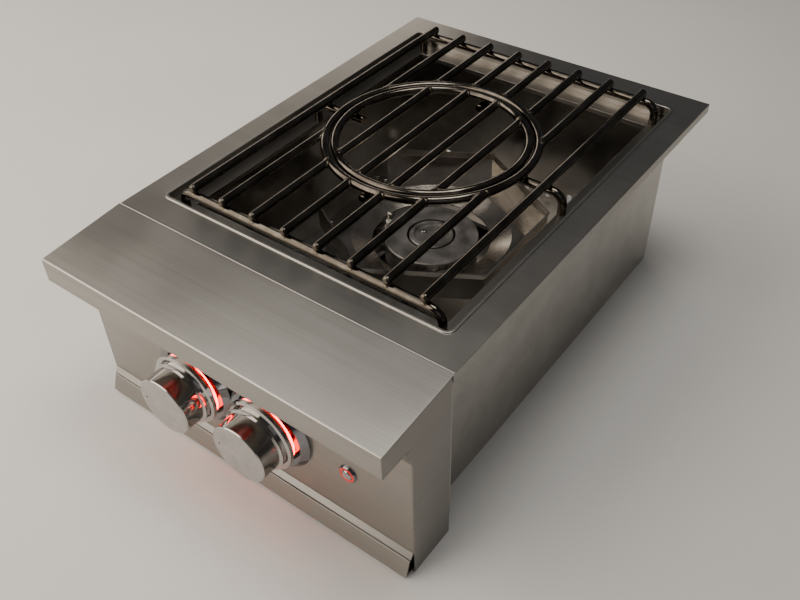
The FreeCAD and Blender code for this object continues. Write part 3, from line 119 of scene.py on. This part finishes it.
# Heavy matt paper: no gloss, and soft clouds of tone about 300 mm wide.
paper, shader, place = surface("Pale_matt_floor", Roughness=0.75)
mottle = add(paper, "TexNoise", {"Scale": 3.5, "Detail": 4.0}, {"Vector": place}).outputs["Fac"]
tone = add(paper, "ValToRGB", {"stops": [(0.3, "#d9d6d1"), (0.7, "#dedbd6")]}, {"Fac": mottle})
finish(paper, shader, tone.outputs["Color"])
floor_mesh = bpy.data.meshes.new("floor")
edge = 15.0  # metres from the middle
corners = [(-edge, -edge, 0.0), (edge, -edge, 0.0), (edge, edge, 0.0), (-edge, edge, 0.0)]
floor_mesh.from_pydata(corners, [], [(0, 1, 2, 3)])
floor_mesh.materials.append(paper)
floor = bpy.data.objects.new("floor", floor_mesh)
bpy.context.scene.collection.objects.link(floor)

room = bpy.data.worlds.new("studio_room")
room.use_nodes = True
room.node_tree.nodes["Background"].inputs["Color"].default_value = linear("#e4e6ea")
room.node_tree.nodes["Background"].inputs["Strength"].default_value = 0.11
bpy.context.scene.world = room

# Each box has its place and size in metres, its power in watts and its tint, and faces the unit.
unit_middle = np.array([0.0, 0.0, 0.15])
for name, spot, size, power, tint in (
    ("key_softbox", (-1.25, -1.15, 1.22), (2.7, 2.2), 62.0, "#fff6ea"),
    ("hood_softbox", (-0.95, 0.00, 2.00), (1.0, 0.7), 4.0, "#fffaf3"),
    ("rod_softbox", (-1.75, 1.25, 0.85), (1.8, 0.35), 7.0, "#fff4e6"),
    ("top_softbox", (0.15, 0.10, 1.90), (0.8, 0.8), 14.0, "#fffdf8"),
    ("fill_softbox", (1.50, -1.50, 1.50), (1.6, 1.2), 2.0, "#f2f4ff"),
):
    lamp = bpy.data.lights.new(name, "AREA")
    lamp.shape, lamp.size, lamp.size_y, lamp.energy = "RECTANGLE", size[0], size[1], power
    lamp.color = linear(tint)[:3]
    back = np.array(spot) - unit_middle
    back = back / np.linalg.norm(back)
    across = np.cross([0.0, 0.0, 1.0], back)
    across = across / np.linalg.norm(across)
    put(bpy.data.objects.new(name, lamp), across, np.cross(back, across), back, spot)


# Surround, hood, control panel, side plates, grate ledge and tray strip
# 1.5 mm stainless sheet, belt-ground to a satin with the grain running left to right, then folded.
# The grain shows as fine drawn lines, with wider soft bands where the belt bore harder, and the
# cut and folded edges are broken by hand, so they catch a thin line of light.
def brushed(name, light, dark, grain, rough, across=1000.0, along=5.0, edge=0.001):
    """Ground or drawn metal: noise with one long axis, the grain's, and two short ones sets tone,
    gloss and relief. Across and along count its lines per metre, bands are 18 times as wide and 5
    times as long, handling marks are 110 mm wide, and edge is the radius of the broken edges."""
    material, shader, place = surface(name, Metallic=1.0)
    stretch = [along if axis == grain else across for axis in range(3)]
    fine = add(material, "Mapping", {"Scale": stretch}, {"Vector": place}).outputs[0]
    streaks = {"Scale": 1.0, "Detail": 2.0}
    lines = add(material, "TexNoise", streaks, {"Vector": fine}).outputs["Fac"]
    stretch = [along / 5.0 if axis == grain else across / 18.0 for axis in range(3)]
    broad = add(material, "Mapping", {"Scale": stretch}, {"Vector": place}).outputs[0]
    bands = add(material, "TexNoise", streaks, {"Vector": broad}).outputs["Fac"]
    handled = {"Scale": 9.0, "Detail": 5.0, "Roughness": 0.6}
    marks = add(material, "TexNoise", handled, {"Vector": place}).outputs["Fac"]
    lighter = {"operation": "MULTIPLY_ADD", 1: 0.6}
    both = add(material, "Math", lighter, {0: bands, 2: lines}).outputs[0]
    stops = [(0.55, dark), (1.05, light)]
    tone = add(material, "ValToRGB", {"stops": stops}, {"Fac": both}).outputs["Color"]
    spread = {"From Min": 0.3, "From Max": 0.7, "To Min": rough[0], "To Max": rough[1]}
    low = add(material, "MapRange", spread, {"Value": lines}).outputs["Result"]
    spread = {"From Min": 0.35, "From Max": 0.75, "To Min": -0.02, "To Max": 0.04}
    gloss = add(material, "MapRange", spread, {"Value": marks}).outputs["Result"]
    total = add(material, "Math", {"operation": "ADD"}, {0: low, 1: gloss}).outputs[0]
    broken = add(material, "Bevel", {"samples": 6, "Radius": edge}, {}).outputs[0]
    depth = {"Strength": 0.005, "Distance": 0.001}
    bump = add(material, "Bump", depth, {"Height": lines, "Normal": broken}).outputs[0]
    return finish(material, shader, tone, total, bump)


def dress(material, *names):
    """Puts a finish on CAD nodes, in every material slot that their meshes have."""
    for name in names:
        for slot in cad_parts[name].material_slots:
            slot.material = material


# The real grain is about 0.1 mm wide; it is drawn 1 mm wide and 200 mm long, so that it shows at
# this distance. On the side plates and the ledge it runs front to back, and their sheet is drawn a
# little darker: painted shade, for faces that turn away from the light or sit down in the well.
satin_sheet = brushed("Satin_ground_stainless_sheet", "#a5a19b", "#9a968f", 0, (0.295, 0.315))
dress(satin_sheet, "top_surround", "front_hood", "control_panel", "tray_front")
satin_side_painted_shade = brushed("Satin_ground_stainless_side_painted_shade", "#94908b", "#8a8680", 1, (0.30, 0.33))
dress(satin_side_painted_shade, "control_side_left", "control_side_right", "grate_ledge")


# Firebox walls, wind guard, burner deck, floor, partition, stands, brackets, rails and tray
# 1.2 mm stainless with the bright finish it leaves the mill with: a soft mirror, slightly wavy.
# Rolling leaves faint long lines, and the heat of the burner brings out a trace of straw colour.
def bright(name, light, dark, rough, wave, tint=0.0, rolled=0.04):
    """Bright sheet: noise 110 mm wide waves the surface by up to a third of wave, noise 38 mm wide
    smears its gloss, and noise 2 mm high and 200 mm long leaves rolling lines. A tint turns the
    sheet straw and brown by its distance in metres from the middle of the burner."""
    material, shader, place = surface(name, Metallic=1.0)
    wavy = {"Scale": 9.0, "Detail": 1.0}
    slow = add(material, "TexNoise", wavy, {"Vector": place}).outputs["Fac"]
    fine = add(material, "Mapping", {"Scale": (5.0, 5.0, 500.0)}, {"Vector": place}).outputs[0]
    streaks = {"Scale": 1.0, "Detail": 2.0}
    lines = add(material, "TexNoise", streaks, {"Vector": fine}).outputs["Fac"]
    smeared = {"Scale": 26.0, "Detail": 6.0, "Roughness": 0.65}
    smears = add(material, "TexNoise", smeared, {"Vector": place}).outputs["Fac"]
    stops = [(0.35, dark), (0.65, light)]
    tone = add(material, "ValToRGB", {"stops": stops}, {"Fac": smears}).outputs["Color"]
    if tint:
        burner_middle = (0.0, 0.059, 0.10)
        shift = {"Location": [-distance for distance in burner_middle]}
        centred = add(material, "Mapping", shift, {"Vector": place}).outputs[0]
        far = add(material, "VectorMath", {"operation": "LENGTH"}, {0: centred}).outputs["Value"]
        uneven_edge = {"operation": "MULTIPLY_ADD", 1: 0.05}
        ragged = add(material, "Math", uneven_edge, {0: smears, 2: far}).outputs[0]
        straw = [(0.085, "#b58f6a"), (0.105, "#c9b184"), (0.15, "#cfc6b4"), (0.22, "#ffffff")]
        heat = add(material, "ValToRGB", {"stops": straw}, {"Fac": ragged}).outputs["Color"]
        stain = {"data_type": "RGBA", "blend_type": "MULTIPLY", 0: tint}
        tone = add(material, "Mix", stain, {6: tone, 7: heat}).outputs[2]
    spread = {"From Min": 0.3, "From Max": 0.7, "To Min": rough[0], "To Max": rough[1]}
    gloss = add(material, "MapRange", spread, {"Value": smears}).outputs["Result"]
    depth = {"Strength": 0.35, "Distance": wave}
    uneven = add(material, "Bump", depth, {"Height": slow}).outputs[0]
    depth = {"Strength": rolled, "Distance": 0.001}
    bump = add(material, "Bump", depth, {"Height": lines, "Normal": uneven}).outputs[0]
    return finish(material, shader, tone, gloss, bump)


bright_sheet = bright("Bright_annealed_stainless_sheet", "#bab6af", "#aaa59d", (0.13, 0.21), 0.003)
dress(bright_sheet,
      "firebox_left_wall", "firebox_right_wall", "firebox_front_wall", "firebox_rear_wall")
# The guard and deck take a lighter tone than the walls: painted light, brightening the well so that
# the walls reflect it lit.
heated_and_painted_light_sheet = bright("Heat_tinted_bright_stainless_painted_light", "#c9c5c0", "#b8b4ae", (0.15, 0.25), 0.002,
                      tint=0.35)
dress(heated_and_painted_light_sheet, "wind_guard", "burner_deck")

# Mill finish is the plainer, duller sheet of the pieces out of sight: a blurred grey sheen.
mill_sheet = bright("Mill_finish_stainless_sheet", "#b9b6b1", "#a9a6a1", (0.38, 0.48), 0.0015)
dress(mill_sheet, "control_rear_panel", "firebox_floor", "burner_stands", "burner_strap",
      "igniter_bracket", "manifold_brackets", "tray_rails", "drip_tray")


# Burners
# Two slotted caps on hollow bodies, cast in grey iron and turned flat on top.
# The castings keep a fine sand grain, real grains 0.2 mm wide drawn 1 mm wide so that they show,
# and a darker, oxidised skin in patches of 22 mm: a soft, dark grey sheen.
cast, shader, place = surface("Fine_sand_cast_burner_iron", Metallic=1.0)
sand = {"Scale": 900.0, "Detail": 4.0, "Roughness": 0.7}
grain = add(cast, "TexNoise", sand, {"Vector": place}).outputs["Fac"]
patchy = {"Scale": 45.0, "Detail": 5.0, "Roughness": 0.6}
patch = add(cast, "TexNoise", patchy, {"Vector": place}).outputs["Fac"]
skin = [(0.35, "#7c7773"), (0.52, "#918c88"), (0.70, "#a6a19c")]
tone = add(cast, "ValToRGB", {"stops": skin}, {"Fac": patch}).outputs["Color"]
spread = {"From Min": 0.3, "From Max": 0.7, "To Min": 0.40, "To Max": 0.56}
rough = add(cast, "MapRange", spread, {"Value": patch}).outputs["Result"]
bump = add(cast, "Bump", {"Strength": 0.12, "Distance": 0.001}, {"Height": grain}).outputs[0]
finish(cast, shader, tone, rough, bump)
dress(cast, "outer_burner_body", "outer_burner_cap", "inner_burner_body", "inner_burner_cap")

# Turned screws, stems and nuts glint; their cutting lines, 0.1 mm in truth, are drawn 0.7 mm wide.
turned = brushed("Bright_turned_steel", "#c4c2bf", "#a3a19e", 2, (0.16, 0.26),
                 across=1400.0, along=60.0, edge=0.0002)
dress(turned, "cap_screws", "deck_screws", "left_valve_stem", "right_valve_stem", "switch_nut")

# The mixing tubes are drawn stainless tube; their draw lines, drawn 1.4 mm wide, run front to back.
drawn_tube = brushed("Drawn_stainless_tube", "#b0aca7", "#908d89", 1, (0.22, 0.32),
                     across=700.0, along=14.0)
dress(drawn_tube, "outer_venturi", "inner_venturi")


# Igniter
# A glazed alumina insulator round a steel electrode.
# The glaze is glossy and cream white, with small brown specks, drawn 1.4 mm wide so that they show.
glaze, shader, place = surface("Glazed_alumina", Roughness=0.16, IOR=1.52, Coat_Weight=0.4)
specks = add(glaze, "TexNoise", {"Scale": 700.0, "Detail": 3.0}, {"Vector": place}).outputs["Fac"]
cream = [(0.30, "#a99678"), (0.40, "#e6dfd0"), (0.70, "#efe9dc")]
finish(glaze, shader, add(glaze, "ValToRGB", {"stops": cream}, {"Fac": specks}).outputs["Color"])
dress(glaze, "igniter_electrode")


# Gas train
# A steel manifold pipe with a dark powder coat, two die-cast valves, soft aluminium feed tubes
# and a machined brass inlet; the sleeves in the valves are brass too.
# The powder coat is a half-matt black with the orange peel of 2.4 mm that it cures with.
powder, shader, place = surface("Black_powder_coat", IOR=1.5)
peel = add(powder, "TexNoise", {"Scale": 420.0, "Detail": 2.0}, {"Vector": place}).outputs["Fac"]
black = [(0.35, "#1d1d1f"), (0.65, "#29292b")]
tone = add(powder, "ValToRGB", {"stops": black}, {"Fac": peel}).outputs["Color"]
spread = {"From Min": 0.3, "From Max": 0.7, "To Min": 0.32, "To Max": 0.46}
rough = add(powder, "MapRange", spread, {"Value": peel}).outputs["Result"]
bump = add(powder, "Bump", {"Strength": 0.15, "Distance": 0.001}, {"Height": peel}).outputs[0]
finish(powder, shader, tone, rough, bump)
dress(powder, "gas_manifold")

# The machined brass is warm yellow with fine cutting lines, and the drawn tube pale and soft; their
# lines, a tenth of that in truth, are drawn 0.7 and 1.1 mm wide. The die castings are duller grey.
brass = brushed("Machined_brass", "#c8a763", "#a98645", 2, (0.20, 0.32),
                across=1500.0, along=90.0, edge=0.0003)
dress(brass, "gas_inlet_fitting", "left_valve_plunger", "right_valve_plunger")
soft_tube = brushed("Drawn_aluminium_tube", "#c6c6c6", "#a9aaab", 2, (0.26, 0.38),
                    across=900.0, along=18.0)
dress(soft_tube, "left_feed_tube", "right_feed_tube")
die_cast = bright("Die_cast_aluminium", "#a9aaab", "#8b8d8f", (0.36, 0.52), 0.002)
dress(die_cast, "left_valve_body", "right_valve_body")


# Grates
# Stainless rod of ten and a half millimetres, drawn and polished, welded into a frame with a
# lift-out round centre. The polish keeps faint draw lines along each rod, 0.1 mm in truth and
# drawn 0.8 mm wide, and heat has turned it a little brown: glossy rods with a warm sheen. They are
# drawn darker than heat leaves them: painted shade, standing in for the dark room that they reflect.
def middle(name):
    """The middle of a CAD node's box."""
    return np.mean(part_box(name), axis=0)


def drawn_rod(name, run, *names):
    """Polished rod: the draw lines are noise stretched along X or Y, or for a ring noise over the
    distance from its centre and the height. Tone patches, heat brown and painted dark, are 26 mm
    wide."""
    material, shader, place = surface(name, Metallic=1.0)
    path = place
    if run == "ring":
        flat = {"Location": (0.0, -middle("centre_ring")[1], 0.0), "Scale": (1.0, 1.0, 0.0)}
        centred = add(material, "Mapping", flat, {"Vector": place}).outputs[0]
        far = add(material, "VectorMath", {"operation": "LENGTH"}, {0: centred}).outputs["Value"]
        up = add(material, "SeparateXYZ", {}, {0: place}).outputs["Z"]
        path = add(material, "CombineXYZ", {}, {"X": far, "Z": up}).outputs[0]
    stretch = (8.0, 1200.0, 1200.0) if run == "x" else (1200.0, 8.0, 1200.0)
    fine = add(material, "Mapping", {"Scale": stretch}, {"Vector": path}).outputs[0]
    streaks = {"Scale": 1.0, "Detail": 1.0}
    lines = add(material, "TexNoise", streaks, {"Vector": fine}).outputs["Fac"]
    patchy = {"Scale": 38.0, "Detail": 6.0, "Roughness": 0.62}
    patch = add(material, "TexNoise", patchy, {"Vector": place}).outputs["Fac"]
    # The ramp is darker than heat leaves the steel: painted shade for the dark room the rods
    # reflect.
    browned_and_painted_dark = [(0.32, "#453f38"), (0.50, "#575149"), (0.68, "#6c665d")]
    tone = add(material, "ValToRGB", {"stops": browned_and_painted_dark}, {"Fac": patch}).outputs["Color"]
    spread = {"From Min": 0.35, "From Max": 0.7, "To Min": 0.10, "To Max": 0.18}
    rough = add(material, "MapRange", spread, {"Value": patch}).outputs["Result"]
    depth = {"Strength": 0.006, "Distance": 0.001}
    bump = add(material, "Bump", depth, {"Height": lines}).outputs[0]
    dress(finish(material, shader, tone, rough, bump), *names)


drawn_rod("Polished_heat_toned_painted_dark_rod", "y",
          "grate_full_rods", "grate_front_rods", "grate_rear_rods", "ring_pegs", "centre_rods")
drawn_rod("Polished_heat_toned_painted_dark_cross_rod", "x",
          "grate_cross_front", "grate_cross_rear", "grate_arms")
drawn_rod("Polished_heat_toned_painted_dark_ring", "ring", "grate_outer_ring", "centre_ring")


# Welds of the grates
# A bead runs round each rod where it is coped to a ring, ground flush on top so that pans sit flat,
# and a short neck of weld joins rods that cross. Elsewhere the beads are left as welded: rippled,
# and tinted straw to blue-brown by the torch in clouds of 6 mm.
bead, shader, place = surface("Torch_tinted_weld_bead", Metallic=1.0)
cloud = add(bead, "TexNoise", {"Scale": 160.0, "Detail": 4.0}, {"Vector": place}).outputs["Fac"]
torch = [(0.32, "#3b393d"), (0.45, "#565049"), (0.58, "#766b57"), (0.70, "#615b53")]
tone = add(bead, "ValToRGB", {"stops": torch}, {"Fac": cloud}).outputs["Color"]
spread = {"From Min": 0.3, "From Max": 0.7, "To Min": 0.18, "To Max": 0.34}
rough = add(bead, "MapRange", spread, {"Value": cloud}).outputs["Result"]
bump = add(bead, "Bump", {"Strength": 0.2, "Distance": 0.001}, {"Height": cloud}).outputs[0]
finish(bead, shader, tone, rough, bump)


def welds(name, body, loops):
    """One piece from closed loops of loops, an array by weld, round the rod, round the bead and by
    x, y, z: each four-sided face joins a point to its next neighbours, the last to the first."""
    rings, points = loops.shape[1:3]
    weld, ring, point = np.indices(loops.shape[:3])
    corners = [((weld * rings + (ring + i) % rings) * points + (point + j) % points).ravel()
               for i, j in ((0, 0), (1, 0), (1, 1), (0, 1))]
    mesh = bpy.data.meshes.new(name)
    mesh.from_pydata(loops.reshape(-1, 3).tolist(), [], np.stack(corners, axis=1).tolist())
    mesh.shade_smooth()
    mesh.materials.append(bead)
    piece = bpy.data.objects.new(name, mesh)
    bpy.context.scene.collection.objects.link(piece)
    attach(piece, body)


def ring_beads(x, way, out, name):
    """Beads round rods along Y that meet a ring from outside (out = 1) or inside (out = -1), in
    front of its centre (way = -1) or behind (way = 1). The meeting curve lies at the ring's radius
    plus or minus the rod's radius times the cosine round the rod, softened where the cosine changes
    sign. An ellipse follows it, rippled nine times round and cut flush just under the ring's top."""
    half_width, height, set_off, flush = 0.0023, 0.0011, 0.0003, 0.00002  # metres
    ripple, softening = 0.10, 0.03
    low, high = (np.array(corner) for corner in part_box(name))
    centre, radius = middle(name), (high[2] - low[2]) / 2
    ring_radius = (high[0] - low[0]) / 2 - radius
    x, way = (np.array(v)[:, None, None] for v in (x, way))
    round_rod = np.linspace(0, 2 * np.pi, 36, endpoint=False)[None, :, None]
    round_bead = np.linspace(0, 2 * np.pi, 12, endpoint=False)[None, None, :]
    reach = radius * np.sqrt(np.cos(round_rod) ** 2 + softening)
    meeting = np.sqrt((ring_radius + out * reach) ** 2 - (x + radius * np.cos(round_rod)) ** 2)
    raised = radius + height * (1 + ripple * np.cos(9 * round_rod)) * np.sin(round_bead)
    along = meeting + out * (set_off + half_width * np.cos(round_bead))
    beads = np.stack(np.broadcast_arrays(
        x + raised * np.cos(round_rod), centre[1] + way * along,
        centre[2] + out * way * raised * np.sin(round_rod)), axis=-1)
    beads[..., 2] = np.minimum(beads[..., 2], high[2] - flush)
    return beads


def crossing_necks(x, y, z):
    """Necks between crossing rods: the radius is the waist's plus a flare times the square of the
    height, rippled seven times round. The last two heights, at a tenth of the radius, close the
    neck through its middle."""
    waist, flare, half_height = 0.0034, 0.0016, 0.0020  # metres
    ripple = 0.04
    x, y = (np.array(v)[:, None, None] for v in (x, y))
    round_neck = np.linspace(0, 2 * np.pi, 24, endpoint=False)[None, :, None]
    height = np.array([-1.0, -0.75, -0.4, 0.0, 0.4, 0.75, 1.0, 0.5, -0.5])[None, None, :]
    share = np.array([1.0, 1.0, 1.0, 1.0, 1.0, 1.0, 1.0, 0.1, 0.1])[None, None, :]
    radius = share * (waist + flare * height ** 2) * (1 + ripple * np.cos(7 * round_neck))
    return np.stack(np.broadcast_arrays(
        x + radius * np.cos(round_neck), y + radius * np.sin(round_neck),
        z + half_height * height), axis=-1)


# The six middle rods end at the outer ring and the four of the centre grate inside the centre ring.
# The necks join all eight rods to both cross rods, the outer ring to the arms and pegs under it,
# and the two outermost rods to the arms.
low, high = (np.array(corner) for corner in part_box("grate_full_rods"))
rod_radius = (high[2] - low[2]) / 2
rows = np.linspace(low[0] + rod_radius, high[0] - rod_radius, 8)
cut_rods, centre_rods = rows[1:-1], rows[2:-2]
beads = ring_beads([*cut_rods, *cut_rods], [-1] * 6 + [1] * 6, 1, "grate_outer_ring")
welds("grate_ring_welds", "main_grate", beads)
beads = ring_beads([*centre_rods, *centre_rods], [-1] * 4 + [1] * 4, -1, "centre_ring")
welds("centre_grate_welds", "centre_grate", beads)
front, rear = middle("grate_cross_front")[1], middle("grate_cross_rear")[1]
centre_y = middle("centre_ring")[1]
ring_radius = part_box("grate_outer_ring")[1][0] - rod_radius
across = [*rows, *rows, -ring_radius, ring_radius, 0.0, 0.0, rows[0], rows[-1]]
along = [*[front] * 8, *[rear] * 8, centre_y, centre_y, centre_y - ring_radius,
         centre_y + ring_radius, centre_y, centre_y]
welds("grate_crossing_welds", "main_grate", crossing_necks(across, along, low[2]))


# Knobs, bezels and the light switch
# Hollow cast metal, plated: the face of each knob is brushed to a satin, its sides and the bezels
# are polished. A clear red ring, frosted and lit from behind, sits inside each bezel and round the
# button. The brushing, 0.1 mm in truth, is drawn 0.8 mm wide, and fades out 1.5 mm behind the face.
face_y, satin_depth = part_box("left_knob")[0][1], 0.0015
knob_metal, shader, place = surface("Plated_knob_with_satin_face", Metallic=1.0)
y = add(knob_metal, "SeparateXYZ", {}, {0: place}).outputs["Y"]
spread = {"From Min": face_y, "From Max": face_y + satin_depth, "To Min": 1.0, "To Max": 0.0}
front = add(knob_metal, "MapRange", spread, {"Value": y}).outputs["Result"]
fine = add(knob_metal, "Mapping", {"Scale": (9.0, 9.0, 1300.0)}, {"Vector": place}).outputs[0]
lines = add(knob_metal, "TexNoise", {"Scale": 1.0, "Detail": 2.0}, {"Vector": fine}).outputs["Fac"]
smeared = {"Scale": 60.0, "Detail": 5.0, "Roughness": 0.6}
smears = add(knob_metal, "TexNoise", smeared, {"Vector": place}).outputs["Fac"]
plating = [(0.35, "#b0adaa"), (0.65, "#bfbcb9")]
tone = add(knob_metal, "ValToRGB", {"stops": plating}, {"Fac": smears}).outputs["Color"]
spread = {"From Min": 0.3, "From Max": 0.7, "To Min": 0.22, "To Max": 0.30}
satin = add(knob_metal, "MapRange", spread, {"Value": lines}).outputs["Result"]
spread = {"From Min": 0.3, "From Max": 0.7, "To Min": 0.07, "To Max": 0.13}
polish = add(knob_metal, "MapRange", spread, {"Value": smears}).outputs["Result"]
rough = add(knob_metal, "Mix", {}, {0: front, 2: polish, 3: satin}).outputs[0]
bump = add(knob_metal, "Bump", {"Distance": 0.001}, {"Height": lines})
strength = add(knob_metal, "Math", {"operation": "MULTIPLY", 1: 0.012}, {0: front}).outputs[0]
knob_metal.node_tree.links.new(strength, bump.inputs["Strength"])
finish(knob_metal, shader, tone, rough, bump.outputs[0])
dress(knob_metal, "left_knob", "right_knob", "light_button")

# Chrome over polish is close to a mirror and a little blue. It is drawn darker than chrome and the
# steel beside it: painted shade, standing in for the dark room the bezels reflect.
chrome = bright("Polished_chrome_plate_painted_dark", "#8f8f93", "#838387", (0.06, 0.11), 0.0006, rolled=0.0)
dress(chrome, "left_bezel", "right_bezel", "switch_body")

# The rings are red acrylic, frosted inside, so they glow evenly; the frost, 0.2 mm in truth, is
# drawn 1.7 mm wide. The lamp behind the switch is much weaker than those behind the knobs.
lens, shader, place = surface("Frosted_red_lens", IOR=1.49, Emission_Color=linear("#ff0c06"),
                              Emission_Strength=26.0)
frost = add(lens, "TexNoise", {"Scale": 600.0, "Detail": 3.0}, {"Vector": place}).outputs["Fac"]
red = [(0.35, "#a80c0a"), (0.65, "#d3170f")]
tone = add(lens, "ValToRGB", {"stops": red}, {"Fac": frost}).outputs["Color"]
spread = {"From Min": 0.3, "From Max": 0.7, "To Min": 0.28, "To Max": 0.42}
finish(lens, shader, tone, add(lens, "MapRange", spread, {"Value": frost}).outputs["Result"])
dress(lens, "left_light_ring", "right_light_ring")
dim_lens = lens.copy()
dim_lens.name = "Frosted_red_lens_dimly_lit"
dim_lens.node_tree.nodes["Principled BSDF"].inputs["Emission Strength"].default_value = 0.6
dress(dim_lens, "switch_light_ring")
